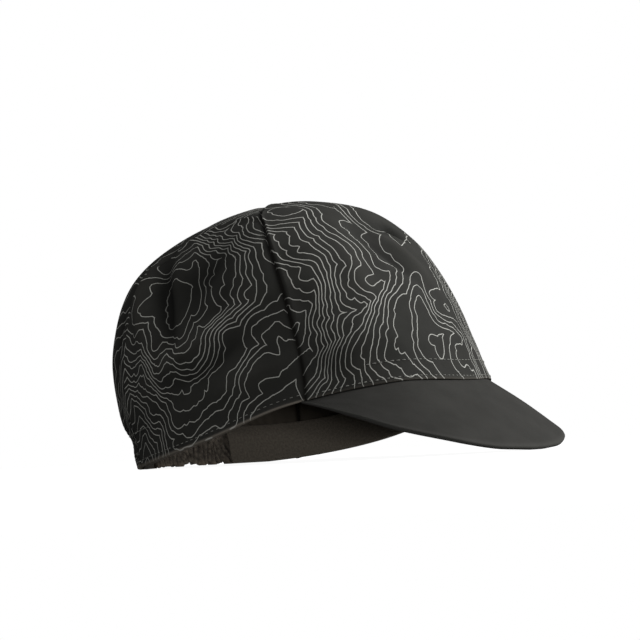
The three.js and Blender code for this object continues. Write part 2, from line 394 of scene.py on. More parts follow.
    def climb(self, side: Array, ahead: Array) -> Array:
        """Heights above the hem line at places on the disc."""
        rise = 1 - side**2 - ahead**2
        return np.maximum(rise, 0) * (self.top - self.hem(np.arctan2(side, ahead)))

    def hollows(self, side: Array, ahead: Array) -> Array:
        """How deep the creases are at places on the disc, as shares of the crown's height.

        Args:
            side: Places on the disc towards the wearer's left.
            ahead: Places on the disc towards the front.

        Returns:
            Depths, below 0 where a fold stands out.
        """
        turn, reach = np.arctan2(side, ahead), np.hypot(side, ahead)
        depth = np.zeros_like(turn)
        for crease in self.creases:
            across = (turn - math.radians(crease.turn)) * reach
            up, tilt = 1 - reach**2 - crease.rise, math.radians(crease.lean)
            along = up * math.cos(tilt) + across * math.sin(tilt)
            aside = across * math.cos(tilt) - up * math.sin(tilt)
            depth += crease.depth * bell(along, crease.length) * bell(aside, crease.width)
        return depth

    def relief(self, side: Array, ahead: Array, layer: Layer) -> Array:
        """How far the cloth stands out from the smooth crown.

        Args:
            side: Places on the disc towards the wearer's left.
            ahead: Places on the disc towards the front.
            layer: The face of the cloth.

        Returns:
            Distances outward.
        """
        climb = self.climb(side, ahead)
        stand = self.gathers.relief(self.from_back(side, ahead), climb, layer.value)
        stand -= self.top * self.hollows(side, ahead)
        if layer is not Layer.LINING:
            for waves in self.slack:
                stand += smooth_step(climb, *self.slack_rise) * waves.at(side, ahead)
        return stand

    def face(self, side: Array, ahead: Array, layer: Layer) -> Array:
        """Points on a face of the cloth.

        Args:
            side: Places on the disc towards the wearer's left.
            ahead: Places on the disc towards the front.
            layer: The outer face, or the face that an inner side is offset from.

        Returns:
            Points in millimetres.
        """
        relief = self.relief(side, ahead, layer)[..., None]
        return self.smooth(side, ahead) + relief * self.outward(self.smooth, side, ahead)

    def inside(self, side: Array, ahead: Array, depth: Array | float, layer: Layer) -> Array:
        """Points at a depth inside the cloth's face.

        Args:
            side: Places on the disc towards the wearer's left.
            ahead: Places on the disc towards the front.
            depth: Distances inside the face.
            layer: The face of the cloth.

        Returns:
            Points in millimetres.
        """
        direction = self.outward(self.smooth, side, ahead)
        return self.face(side, ahead, layer) - np.asarray(depth)[..., None] * direction

    def place_at(self, turn: Array, climb: Array) -> tuple[Array, Array]:
        """Places on the disc at turns from the front and heights above the hem.

        Args:
            turn: Turns in radians.
            climb: Heights above the hem line.

        Returns:
            The side and ahead of each place.
        """
        reach = np.sqrt(1 - climb / (self.top - self.hem(turn)))
        return reach * np.sin(turn), reach * np.cos(turn)


@dataclass
class Shell:
    """A closed wall between two grids of points, with rounded edges.

    Rows run up and columns run from left to right as seen from outside.
    """

    name: str
    outer: Array
    inner: Array
    place: Array
    edge_rings: int = 3
    roundness: float = 0.8
    printed: bool = False
    edge_print: float = 0.6
    wear: Array | None = None
    hollow: Array | None = None
    map_margin: float = 0.01
    map_outer: tuple[float, float] = (0.01, 0.66)
    map_edge: tuple[float, float] = (0.685, 0.07)
    map_inner: tuple[float, float] = (0.77, 0.22)

    def rim(self, grid: Array) -> Array:
        """The values round a grid's border, once round from its first corner."""
        return np.concatenate([grid[0, :], grid[1:, -1], grid[-1, -2::-1], grid[-2:0:-1, 0]])

    def rings(self) -> list[Array]:
        """Rounds the edge.

        Returns:
            The points of the rounded edge, ring by ring from the outer face to the inner.
        """
        outer, inner = self.rim(self.outer), self.rim(self.inner)
        inward = np.concatenate(
            [
                self.outer[1, :],
                self.outer[1:, -2],
                self.outer[-2, -2::-1],
                self.outer[-2:0:-1, 1],
            ]
        )
        away = unit(outer - inward)
        half = (outer - inner) / 2
        middle = (outer + inner) / 2
        bulge = np.linalg.norm(half, axis=-1, keepdims=True) * self.roundness
        angles = [math.pi * (k + 1) / (self.edge_rings + 1) for k in range(self.edge_rings)]
        return [middle + half * math.cos(a) + away * bulge * math.sin(a) for a in angles]

    def build(self) -> bpy.types.Object:
        """Makes the mesh object, with the values that the materials read and a map to bake.

        Returns:
            The object.
        """
        rows, columns = self.outer.shape[:2]
        count, border = rows * columns, 2 * (rows + columns) - 4
        rings = self.rings()
        points = np.concatenate([self.outer.reshape(-1, 3), self.inner.reshape(-1, 3), *rings])
        points[:, 2] = np.maximum(points[:, 2], 0)
        index = np.arange(count).reshape(rows, columns)
        quads = np.stack([index[:-1, :-1], index[:-1, 1:], index[1:, 1:], index[1:, :-1]], -1)
        quads = quads.reshape(-1, 4)
        loops = [self.rim(index)]
        loops += [2 * count + border * k + np.arange(border) for k in range(len(rings))]
        loops.append(self.rim(index) + count)
        faces = [quads, quads[:, ::-1] + count]
        for near, far in zip(loops[:-1], loops[1:]):
            ahead_near, ahead_far = np.roll(near, -1), np.roll(far, -1)
            faces.append(np.stack([ahead_near, near, far, ahead_far], -1))
        quads = np.concatenate(faces)
        mesh = bpy.data.meshes.new(self.name)
        mesh.from_pydata((points * MM).tolist(), [], quads.tolist())
        self.add_values(mesh, rings)
        self.add_map(mesh, quads, loops)
        mesh.update()
        mesh.shade_smooth()
        return stand_in_scene(self.name, mesh)

    def add_values(self, mesh: bpy.types.Mesh, rings: list[Array]) -> None:
        """Adds the values that the materials read at each vertex.

        Args:
            mesh: The mesh.
            rings: The rounded edge's rings.
        """
        rows, columns = self.outer.shape[:2]
        flat = np.concatenate([self.place, np.zeros((rows, columns, 1))], -1)
        place = np.concatenate([flat.reshape(-1, 3)] * 2 + [self.rim(flat)] * len(rings))
        mesh.attributes.new(PLACE, "FLOAT_VECTOR", "POINT").data.foreach_set("vector", place.ravel())
        amount = np.zeros(len(place))
        if self.printed:
            amount[: rows * columns] = 1
            amount[2 * rows * columns :] = self.edge_print
        mesh.attributes.new(PRINTED, "FLOAT", "POINT").data.foreach_set("value", amount)
        for name, given in ((WEAR_AND_HIGHLIGHT_VALUE, self.wear), (PAINTED_SHADE_VALUE, self.hollow)):
            grid = np.zeros((rows, columns)) if given is None else given
            values = np.concatenate([grid.ravel()] * 2 + [self.rim(grid)] * len(rings))
            mesh.attributes.new(name, "FLOAT", "POINT").data.foreach_set("value", values)

    def add_map(self, mesh: bpy.types.Mesh, quads: Array, loops: list[Array]) -> None:
        """Adds the map to bake through: the outer face, the edge, the inner face.

        Args:
            mesh: The mesh.
            quads: Vertex numbers of the faces.
            loops: The vertex numbers round each ring, from the outer face to the inner.
        """
        rows, columns = self.outer.shape[:2]
        low, high = self.place.min((0, 1)), self.place.max((0, 1))
        share = ((self.place - low) / (high - low)).reshape(-1, 2)
        faces = (rows - 1) * (columns - 1)
        margin, wide = self.map_margin, 1 - 2 * self.map_margin
        at = np.zeros((len(quads), 4, 2))
        outer, inner = quads[:faces], quads[faces : 2 * faces] - rows * columns
        at[:faces] = share[outer] * [wide, self.map_outer[1]] + [margin, self.map_outer[0]]
        at[faces : 2 * faces] = share[inner] * [wide, self.map_inner[1]] + [margin, self.map_inner[0]]
        border, bands = len(loops[0]), len(loops) - 1
        around = margin + wide * np.arange(border + 1) / border
        heights = self.map_edge[0] + self.map_edge[1] * np.arange(bands + 1) / bands
        for k, (near, far) in enumerate(zip(heights[:-1], heights[1:])):
            first = 2 * faces + k * border
            corner_places = ((around[1:], near), (around[:-1], near), (around[:-1], far), (around[1:], far))
            for corner, (across, up) in enumerate(corner_places):
                at[first : first + border, corner] = np.stack([across, np.full(border, up)], -1)
        mesh.uv_layers.new(name=BAKE_MAP).uv.foreach_set("vector", at.ravel().astype(np.float32))


class Graph:
    """Adds and joins the nodes of one shader tree."""

    # Where a Mix node keeps its factor, its two colours and its mixed colour
    COLOUR_MIX_INPUTS = (0, 6, 7)
    COLOUR_MIX_OUTPUT = 2

    def __init__(self, tree: bpy.types.NodeTree) -> None:
        """Starts with a tree's nodes cleared."""
        self.tree = tree
        tree.nodes.clear()

    def add(self, kind: str, output: int | str = 0, **settings: object) -> bpy.types.NodeSocket:
        """Adds a node.

        Args:
            kind: The node's type, without ShaderNode at its start.
            output: Which output to give back.
            settings: The node's properties, and its inputs as in0, in1 and so on.

        Returns:
            One of the node's outputs.
        """
        node = self.tree.nodes.new("ShaderNode" + kind)
        inputs = {k: v for k, v in settings.items() if k.startswith("in") and k[2:].isdigit()}
        for name, value in settings.items():
            if name not in inputs:
                setattr(node, name, value)
        for name, value in inputs.items():
            self.feed(node.inputs[int(name[2:])], value)
        return node.outputs[output]

    def feed(self, socket: bpy.types.NodeSocket, value: object) -> None:
        """Links an output to a socket, or sets the socket's own value.

        Args:
            socket: The socket.
            value: An output, a plain value, or None to leave the socket as it is.
        """
        if isinstance(value, bpy.types.NodeSocket):
            self.tree.links.new(value, socket)
        elif value is not None:
            socket.default_value = value

    def math(self, operation: str, *values: object) -> bpy.types.NodeSocket:
        """The result of a Math node."""
        inputs = {f"in{k}": v for k, v in enumerate(values)}
        return self.add("Math", operation=operation, **inputs)

    def shift(self, vector: object, offset: tuple[float, float, float]) -> bpy.types.NodeSocket:
        """A vector moved by an offset."""
        return self.add("VectorMath", operation="ADD", in0=vector, in1=offset)

    def mix(self, share: object, low: object, high: object) -> bpy.types.NodeSocket:
        """Mixes two colours.

        Args:
            share: How far the result lies on the way from low to high.
            low: The colour at 0.
            high: The colour at 1.

        Returns:
            The mixed colour.
        """
        node = self.tree.nodes.new("ShaderNodeMix")
        node.data_type = "RGBA"
        for socket, value in zip(self.COLOUR_MIX_INPUTS, (share, low, high)):
            self.feed(node.inputs[socket], value)
        return node.outputs[self.COLOUR_MIX_OUTPUT]

    def remap(
        self,
        value: object,
        low: float,
        high: float,
        start: float = 0.0,
        end: float = 1.0,
    ) -> bpy.types.NodeSocket:
        """Moves values smoothly from one range to another.

        Args:
            value: The values.
            low: Where the range of the values starts.
            high: Where it ends.
            start: The result at its start.
            end: The result at its end.

        Returns:
            The results.
        """
        node = self.tree.nodes.new("ShaderNodeMapRange")
        node.interpolation_type = "SMOOTHSTEP"
        for socket, given in zip(node.inputs, (value, low, high, start, end)):
            self.feed(socket, given)
        return node.outputs[0]

    def group(self, tree: bpy.types.NodeTree, output: str, **inputs: object) -> bpy.types.NodeSocket:
        """Places a group.

        Args:
            tree: The group.
            output: The output to give back.
            inputs: Values or outputs for its inputs, with _ for each space in a name.

        Returns:
            One of the group's outputs.
        """
        node = self.tree.nodes.new("ShaderNodeGroup")
        node.node_tree = tree
        for name, value in inputs.items():
            self.feed(node.inputs[name.replace("_", " ")], value)
        return node.outputs[output]


@dataclass(frozen=True)
class Bend:
    """One set of bends in the contour print, smooth or kinked."""

    scale: float
    reach: float
    offset: tuple[float, float, float]
    kinked: bool


class Effects:
    """The shader groups that several finishes share, each built once."""

    hill_scale = 0.0085
    slope_reach = 0.3
    least_slope = 0.0006
    line_softness = (-0.14, 0.12)
    fuzz_scale = 1.9
    fuzz_detail = 2.0
    crossing = 0.25
    patch_detail = 3.0
    patch_range = (0.3, 0.7)
    noise_roughness = 0.6
    bends = (
        Bend(scale=0.018, reach=20.0, offset=(0, 0, 0), kinked=False),
        Bend(scale=0.035, reach=40.0, offset=(31, 77, 0), kinked=True),
        Bend(scale=0.1, reach=8.0, offset=(131, 7, 0), kinked=True),
        Bend(scale=0.35, reach=0.8, offset=(0, 0, 0), kinked=False),
    )

    def __init__(self) -> None:
        """Builds the groups."""
        self.heights = self.contour_heights()
        self.lines = self.contour_lines()
        self.weave = self.woven_cloth()
        self.mottle = self.mottling()

    def start(
        self,
        name: str,
        inputs: dict[str, float | None],
        outputs: tuple[str, ...],
    ) -> tuple[Graph, dict[str, bpy.types.NodeSocket], bpy.types.Node]:
        """Makes an empty group.

        Args:
            name: The group's name.
            inputs: Its inputs by name, each a number, or None for a vector.
            outputs: The names of its outputs, all values.

        Returns:
            The group's graph, its inputs inside it by name, and its output node.
        """
        tree = bpy.data.node_groups.new(name, "ShaderNodeTree")
        graph = Graph(tree)
        for title, value in inputs.items():
            kind = "NodeSocketVector" if value is None else "NodeSocketFloat"
            socket = tree.interface.new_socket(title, in_out="INPUT", socket_type=kind)
            if value is not None:
                socket.default_value = value
        for title in outputs:
            tree.interface.new_socket(title, in_out="OUTPUT", socket_type="NodeSocketFloat")
        entry = tree.nodes.new("NodeGroupInput")
        leave = tree.nodes.new("NodeGroupOutput")
        return graph, {title: entry.outputs[title] for title in inputs}, leave

    def contour_heights(self) -> bpy.types.NodeTree:
        """Builds the hills of the contour print, with kinks that run on from line to line.

        Returns:
            The group.
        """
        graph, given, leave = self.start("contour heights", {"Place": None}, ("Height",))
        place = given["Place"]
        for bend in self.bends:
            wave = graph.shift(given["Place"], bend.offset)
            wave = graph.add("TexNoise", "Color", in0=wave, in2=bend.scale, in3=0.0)
            wave = graph.shift(wave, (-0.5, -0.5, -0.5))
            if bend.kinked:
                wave = graph.add("VectorMath", operation="ABSOLUTE", in0=wave)
            wave = graph.add("VectorMath", operation="SCALE", in0=wave, in3=bend.reach)
            place = graph.add("VectorMath", operation="ADD", in0=place, in1=wave)
        flat = graph.add("VectorMath", operation="MULTIPLY", in0=place, in1=(1, 1, 0))
        height = graph.add("TexNoise", in0=flat, in2=self.hill_scale, in3=0.0)
        graph.feed(leave.inputs["Height"], height)
        return graph.tree

    def contour_lines(self) -> bpy.types.NodeTree:
        """Builds the print's thin lines of even width, at equal heights of the hills.

        Returns:
            The group.
        """
        graph, given, leave = self.start(
            "contour lines", {"Place": None, "Levels": 30.0, "Line Width": 0.8}, ("Mask",)
        )
        reach = self.slope_reach
        heights = [
            graph.group(self.heights, "Height", Place=graph.shift(given["Place"], offset))
            for offset in ((0, 0, 0), (reach, 0, 0), (0, reach, 0))
        ]
        slopes = [graph.math("SUBTRACT", h, heights[0]) for h in heights[1:]]
        squares = [graph.math("MULTIPLY", s, s) for s in slopes]
        steep = graph.math("SQRT", graph.math("ADD", *squares))
        steep = graph.math("MAXIMUM", graph.math("DIVIDE", steep, reach), self.least_slope)
        level = graph.math("MULTIPLY", heights[0], given["Levels"])
        apart = graph.math("ABSOLUTE", graph.math("SUBTRACT", graph.math("FRACT", level), 0.5))
        away = graph.math("DIVIDE", apart, graph.math("MULTIPLY", steep, given["Levels"]))
        half = graph.math("MULTIPLY", given["Line Width"], 0.5)
        near = graph.math("SUBTRACT", half, away)
        graph.feed(leave.inputs["Mask"], graph.remap(near, *self.line_softness))
        return graph.tree

    def woven_cloth(self) -> bpy.types.NodeTree:
        """Builds the crossing threads of a cloth, as a height.

        Returns:
            The group.
        """
        graph, given, leave = self.start("weave", {"Place": None, "Pitch": 0.6}, ("Height",))
        parts = graph.add("SeparateXYZ", in0=given["Place"]).node
        waves = []
        for output in parts.outputs[:2]:
            turns = graph.math("DIVIDE", output, given["Pitch"])
            waves.append(graph.math("SINE", graph.math("MULTIPLY", turns, 2 * math.pi)))
        crossing = graph.math("MULTIPLY", waves[0], waves[1])
        noise = {"in2": self.fuzz_scale, "in3": self.fuzz_detail, "in4": self.noise_roughness}
        fuzz = graph.add("TexNoise", in0=given["Place"], **noise)
        height = graph.math("MULTIPLY_ADD", crossing, self.crossing, fuzz)
        graph.feed(leave.inputs["Height"], height)
        return graph.tree

    def mottling(self) -> bpy.types.NodeTree:
        """Builds the soft unevenness of dyed cloth, from 0 to 1.

        Returns:
            The group.
        """
        graph, given, leave = self.start("mottling", {"Place": None, "Scale": 0.05}, ("Value",))
        noise = {"in2": given["Scale"], "in3": self.patch_detail, "in4": self.noise_roughness}
        patches = graph.add("TexNoise", in0=given["Place"], **noise)
        graph.feed(leave.inputs["Value"], graph.remap(patches, *self.patch_range))
        return graph.tree


@dataclass(frozen=True)
class ClothFinish:
    """A woven cloth, dyed one colour, with or without the contour print."""

    name: str
    slot: str
    dark: tuple[float, float, float]
    light: tuple[float, float, float]
    pitch: float = 0.6
    mottle_scale: float = 0.06
    relief: float = 0.10
    roughness: float = 0.85
    gloss: float = 0.04
    sheen: float = 0.006
    # The lighter colour for wear and for painted highlight
    wear_and_highlight_colour: tuple[float, float, float] = (0.09, 0.085, 0.075)
    wear_and_highlight_amount: float = 0.3
    # How strongly the painted shade darkens the colour in folds, seams and corners
    fold_shade: float = 0.72
    deepest_shade: float = 0.85
    weave_share: float = 0.45
    thin_ink: float = 0.72
    ink_range: tuple[float, float] = (0.2, 0.8)
    bump: float = 0.6
    line: tuple[float, float, float] | None = None
    back_dark: tuple[float, float, float] = (0.072, 0.062, 0.049)
    back_light: tuple[float, float, float] = (0.100, 0.086, 0.068)
    levels: float = 47.0
    line_width: float = 0.33

    def build(self, effects: Effects) -> bpy.types.Material:
        """Makes the material.

        Args:
            effects: The shared shader groups.

        Returns:
            The material.
        """
        material = bpy.data.materials.new(self.name)
        material.use_nodes = True
        graph = Graph(material.node_tree)
        place = graph.add("Attribute", "Vector", attribute_name=PLACE)
        weave = graph.group(effects.weave, "Height", Place=place, Pitch=self.pitch)
        patches = graph.group(effects.mottle, "Value", Place=place, Scale=self.mottle_scale)
        patches = graph.math("MULTIPLY", patches, 1 - self.weave_share)
        tone = graph.math("ADD", patches, graph.math("MULTIPLY", weave, self.weave_share))
        colour = graph.mix(tone, (*self.dark, 1), (*self.light, 1))
        # Lighter where the cloth is worn at the seams, with a painted highlight along the panels' hems and
        # on ridges, and lighter along the peak's rim and the strips' lower edges
        wear = graph.add("Attribute", "Fac", attribute_name=WEAR_AND_HIGHLIGHT_VALUE)
        colour = graph.mix(graph.math("MULTIPLY", wear, self.wear_and_highlight_amount), colour, (*self.wear_and_highlight_colour, 1))
        # Painted shade: darker towards black in creases, gather folds, along seams, in the casing's ruffles
        # and at its ends, and at the peak's corners
        hollow = graph.add("Attribute", "Fac", attribute_name=PAINTED_SHADE_VALUE)
        shade = graph.math("MULTIPLY", hollow, self.fold_shade)
        shade = graph.math("MINIMUM", shade, self.deepest_shade)
        if self.line is not None:
            lines = graph.group(
                effects.lines, "Mask", Place=place, Levels=self.levels, Line_Width=self.line_width
            )
            printed = graph.add("Attribute", "Fac", attribute_name=PRINTED)
            reverse = graph.mix(tone, (*self.back_dark, 1), (*self.back_light, 1))
            colour = graph.mix(printed, reverse, colour)
            speckle = graph.remap(weave, *self.ink_range, self.thin_ink)
            amount = graph.math("MULTIPLY", graph.math("MULTIPLY", lines, printed), speckle)
            colour = graph.mix(amount, colour, (*self.line, 1))
        colour = graph.mix(shade, colour, (0.0, 0.0, 0.0, 1))
        bump = graph.add("Bump", in0=self.bump, in1=self.relief * MM, in3=weave)
        node = graph.tree.nodes.new("ShaderNodeBsdfPrincipled")
        node.inputs["Roughness"].default_value = self.roughness
        node.inputs["Specular IOR Level"].default_value = self.gloss
        node.inputs["Sheen Weight"].default_value = self.sheen
        node.inputs["Sheen Roughness"].default_value = 0.5
        graph.feed(node.inputs["Base Color"], colour)
        graph.feed(node.inputs["Normal"], bump)
        leave = graph.tree.nodes.new("ShaderNodeOutputMaterial")
        graph.feed(leave.inputs["Surface"], node.outputs["BSDF"])
        return material


PRINTED_CLOTH = ClothFinish(
    name="printed cloth",
    slot="printed_cloth",
    dark=(0.0265, 0.0265, 0.0240),
    light=(0.0360, 0.0360, 0.0330),
    line=(0.57, 0.57, 0.53),
    # The light colour of worn seams and of the painted highlight along the hem and on ridges
    wear_and_highlight_colour=(0.26, 0.235, 0.2),
)
PEAK_CLOTH = ClothFinish(
    name="peak cloth",
    slot="peak_cloth",
    dark=(0.0285, 0.0280, 0.0258),
    light=(0.0392, 0.0385, 0.0356),
    pitch=0.7,
    roughness=0.8,
    wear_and_highlight_colour=(0.08, 0.079, 0.073),
)
BAND_CLOTH = ClothFinish(
    name="band cloth",
    slot="band_cloth",
    dark=(0.110, 0.096, 0.077),
    light=(0.205, 0.180, 0.147),
    pitch=0.9,
    mottle_scale=0.9,
    relief=0.3,
    roughness=0.95,
    sheen=0.06,
)
CASING_CLOTH = ClothFinish(
    name="casing cloth",
    slot="band_cloth",
    dark=(0.03, 0.025, 0.019),
    light=(0.33, 0.285, 0.235),
    wear_and_highlight_colour=(0.42, 0.33, 0.25),
    pitch=0.9,
    mottle_scale=0.55,
    relief=0.6,
    roughness=0.95,
    sheen=0.06,
)
GREY_THREAD = ClothFinish(
    name="grey thread",
    slot="printed_cloth",
    dark=(0.16, 0.16, 0.15),
    light=(0.34, 0.34, 0.31),
    pitch=0.5,
    roughness=0.7,
)


class Wardrobe:
    """Keeps one material for each finish and dresses pieces in them."""

    def __init__(self, effects: Effects) -> None:
        """Starts empty."""
        self.effects = effects
        self.made: dict[str, bpy.types.Material] = {}

    def dress(self, piece: bpy.types.Object, finish: ClothFinish, *nodes: str) -> None:
        """Gives a piece its finish and its place in the frame.

        Args:
            piece: The piece.
            finish: Its finish.
            nodes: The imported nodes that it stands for.
        """
        if finish.name not in self.made:
            self.made[finish.name] = finish.build(self.effects)
        piece.data.materials.append(self.made[finish.name])
        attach(piece, BODY)
        if nodes:
            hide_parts(*nodes)
        LOG.info("%s: %d faces, %s", piece.name, len(piece.data.polygons), finish.name)


def bezier(*points: tuple[float, float]) -> Curve:
    """A Bezier curve through the first and last of its points.

    Args:
        points: The points.

    Returns:
        A function from shares of the way along to points.
    """
    order = len(points) - 1

    def at(share: Array) -> Array:
        """The points at shares of the way along."""
        weights = [math.comb(order, k) * share**k * (1 - share) ** (order - k) for k in range(order + 1)]
        return sum(w[..., None] * np.array(p) for w, p in zip(weights, points))

    return at


def hem_arc(from_turn: float, to_turn: float) -> Curve:
    """Makes a stretch of the hem on the disc.

    Args:
        from_turn: Where it starts, in degrees from the front.
        to_turn: Where it ends.

    Returns:
        A function from shares of the way along to points.
    """

    def at(share: Array) -> Array:
        """The points at shares of the way from the first turn to the second."""
        turn = np.radians(blend(from_turn, to_turn, share))
        return np.stack([np.sin(turn), np.cos(turn)], -1)

    return at


@dataclass(frozen=True)
class PanelCut:
    """One panel of the crown, between four curves on the disc."""

    name: str
    foot: Curve
    head: Curve
    start: Curve
    end: Curve
    print_offset: tuple[float, float]
    print_turn: float = 0.0
    anchor: float = 0.5
    hem_highlight: float = 2.4
    ledges: tuple[float, float, float] = (0.0, 0.0, 0.0)
    rows: int = 110
    columns: int = 120
    crowding: float = 0.8

    def print_axes(self) -> Array:
        """How the print is turned on the panel, as a matrix."""
        turn = math.radians(self.print_turn)
        return np.array([[math.cos(turn), math.sin(turn)], [-math.sin(turn), math.cos(turn)]])

    def places(self) -> tuple[Array, Array]:
        """Finds the panel's grid, whose rows crowd at the head and columns at both seams.

        Returns:
            The side and ahead of each place.
        """
        up = up_grid(np.linspace(0, 1, self.rows + 1), self.columns + 1)
        across = across_grid(np.linspace(0, 1, self.columns + 1), self.rows + 1)
        across = blend(across, 0.5 - 0.5 * np.cos(math.pi * across), self.crowding)
        up = blend(up, np.sin(up * math.pi / 2), self.crowding)
        u, a = up[..., None], across[..., None]
        foot, head, start, end = self.foot(across), self.head(across), self.start(up), self.end(up)
        foot_ends, head_ends = (curve(np.array([0.0, 1.0])) for curve in (self.foot, self.head))
        place = foot * (1 - u) + head * u + start * (1 - a) + end * a
        place = place - foot_ends[0] * (1 - a) * (1 - u) - foot_ends[1] * a * (1 - u)
        place = place - head_ends[0] * (1 - a) * u - head_ends[1] * a * u
        return place[..., 0], place[..., 1]


@dataclass
class Crown:
    """The four printed panels."""

    shape: CrownShape
    wardrobe: Wardrobe
    seam_dip: float = 1.4
    seam_width: float = 1.35
    seam_shade: float = 1.1
    turned_in: float = 1.8
    hem_seam: float = 0.25
    lift_height: float = 6.0
    puckers: Waves = Waves(seed=40, height=0.28, run=4.6, rise=30)
    pucker_reach: float = 6.0
    dent_share: float = 0.8
    seam_wear: float = 0.12
    seam_wear_width: float = 1.1
    hem_highlight_width: float = 0.45
    ridge_highlight: float = 0.16
    print_centre: float = 35.0
    deep_fold: float = 0.034
    gather_shade: float = 0.5
    extra_cloth: float = 1.3
    extra_height: float = 17.0
    ledge: float = 0.75
    ledge_width: float = 4.0
    shoulder: tuple[float, float] = (0.31, 0.1)
    top_pull: float = -0.2
    front_pull: tuple[float, float] = (0.68, 0.56)
    back_pulls: tuple[tuple[float, float], ...] = ((0.78, -0.42), (0.22, -0.22))

    def front_seam(self, sign: int) -> Curve:
        """Draws the seam from a peak corner up to the shoulder.

        Args:
            sign: -1 for the wearer's right, 1 for the left.

        Returns:
            The seam.
        """
        foot = math.radians(self.shape.corner_turn)
        points = [(math.sin(foot), math.cos(foot)), self.front_pull, self.shoulder]
        return bezier(*[(sign * side, ahead) for side, ahead in points])

    def back_seam(self, sign: int) -> Curve:
        """Draws the seam from the shoulder down the back.

        Args:
            sign: -1 for the wearer's right, 1 for the left.

        Returns:
            The seam.
        """
        foot = math.radians(self.shape.back_seam_turn)
        points = [(math.sin(foot), math.cos(foot)), *self.back_pulls, self.shoulder]
        return bezier(*[(sign * side, ahead) for side, ahead in points])

    def top_seam(self, sign: int) -> Curve:
        """Draws the seam over the top.

        Args:
            sign: 1 to start at the wearer's right, -1 at the left.

        Returns:
            The seam.
        """
        side, ahead = self.shoulder
        return bezier((-sign * side, ahead), (0, self.top_pull), (sign * side, ahead))

    def cuts(self) -> list[PanelCut]:
        """Cuts the crown's cloth into its panels.

        Returns:
            The front, the right side, the left side and the back.
        """
        corner, back = self.shape.corner_turn, self.shape.back_seam_turn
        tips = {sign: bezier((sign * self.shoulder[0], self.shoulder[1])) for sign in (-1, 1)}
        return [
            PanelCut(
                "front_panel",
                hem_arc(-corner, corner),
                self.top_seam(1),
                self.front_seam(-1),
                self.front_seam(1),
                print_offset=(-4, 31),
                print_turn=90,
                hem_highlight=0.3,
                ledges=(1, 1, 1),
                columns=150,
            ),
            PanelCut(
                "side_panel_right",
                hem_arc(-back, -corner),
                tips[-1],
                self.back_seam(-1),
                self.front_seam(-1),
                print_offset=(40, -60),
                anchor=1,
                ledges=(1.8, -1, -1),
            ),
            PanelCut(
                "side_panel_left",
                hem_arc(corner, back),
                tips[1],
                self.front_seam(1),
                self.back_seam(1),
                print_offset=(-290, 130),
                anchor=0,
                ledges=(-1, 1.8, -1),
            ),
            PanelCut(
                "back_panel",
                hem_arc(back, 360 - back),
                self.top_seam(-1),
                self.back_seam(1),
                self.back_seam(-1),
                print_offset=(40, 420),
                ledges=(-1.2, -1.2, -1),
                columns=230,
            ),
        ]

    def cloth_runs(self, side: Array, ahead: Array) -> tuple[Array, Array, Array, Array]:
        """Distances on the cloth along a panel's grid.

        Args:
            side: The grid's places towards the wearer's left.
            ahead: The grid's places towards the front.

        Returns:
            Along each row from its start and to its end, and up each column from the hem and
            to its head.
        """
        points = self.shape.smooth(side, ahead)
        rows = np.linalg.norm(np.diff(points, axis=1), axis=-1)
        columns = np.linalg.norm(np.diff(points, axis=0), axis=-1)
        along = np.pad(np.cumsum(rows, 1), ((0, 0), (1, 0)))
        up = np.pad(np.cumsum(columns, 0), ((1, 0), (0, 0)))
        return along, along[:, -1:] - along, up, up[-1:, :] - up

    def print_place(self, points: Array) -> Array:
        """Lays a panel flat, keeping its area, to find where the print falls on it.

        Args:
            points: The panel's grid.

        Returns:
            Places on the flat cloth.
        """
        away = points - [*self.shape.origin, self.print_centre]
        radius = np.linalg.norm(away, axis=-1).mean()
        away = unit(away)
        axis = unit(away.mean((0, 1)))
        right = unit(np.cross([0.0, 0.0, 1.0], axis))
        up = np.cross(axis, right)
        stretch = radius * np.sqrt(2 / (1 + away @ axis))
        return np.stack([away @ right * stretch, away @ up * stretch], -1)

    def drawn_in(self, side: Array, ahead: Array, along: Array) -> Array:
        """How much more cloth than its width each row of a panel holds, from the row's start.

        Args:
            side: The grid's places towards the wearer's left.
            ahead: The grid's places towards the front.
            along: Distances along each row from its start.

        Returns:
            Lengths of extra cloth.
        """
        near = self.shape.gathers.nearness(self.shape.from_back(side, ahead))
        extra = self.extra_cloth * near * np.exp(-self.shape.climb(side, ahead) / self.extra_height)
        return np.pad(np.cumsum(np.diff(along, axis=1) * extra[:, 1:], 1), ((0, 0), (1, 0)))

    def seam_relief(self, cut: PanelCut, number: int, runs: tuple[Array, ...]) -> Array:
        """How far a panel stands out along its seams: its ledges, dips and puckers.

        Args:
            cut: The panel's cut.
            number: Its number, which varies its puckers.
            runs: Distances on the cloth, as cloth_runs gives them.

        Returns:
            Distances outward.
        """
        start, end, up, down = runs
        puckers = replace(self.puckers, seed=self.puckers.seed + number)
        stand = np.zeros_like(start)
        for ledge, (distance, along) in zip(cut.ledges, ((start, up), (end, up), (down, start))):
            stand += self.ledge * ledge * bell(distance, self.ledge_width)
            stand -= self.seam_dip * bell(distance, self.seam_width)
            stand += puckers.at(along, distance) * np.exp(-distance / self.pucker_reach)
        return stand

    def printed_place(self, cut: PanelCut, side: Array, ahead: Array, start: Array) -> Array:
        """Where the print falls on a panel, drawn together where the cloth is gathered.

        Args:
            cut: The panel's cut.
            side: The grid's places towards the wearer's left.
            ahead: The grid's places towards the front.
            start: Distances along each row from its start.

        Returns:
            Places on the print.
        """
        place = self.print_place(self.shape.smooth(side, ahead)) @ cut.print_axes()
        place = place + np.array(cut.print_offset)
        drawn = self.drawn_in(side, ahead, start)
        still = round(cut.anchor * cut.columns)
        place[..., 0] += drawn - drawn[:, still : still + 1]
        return place

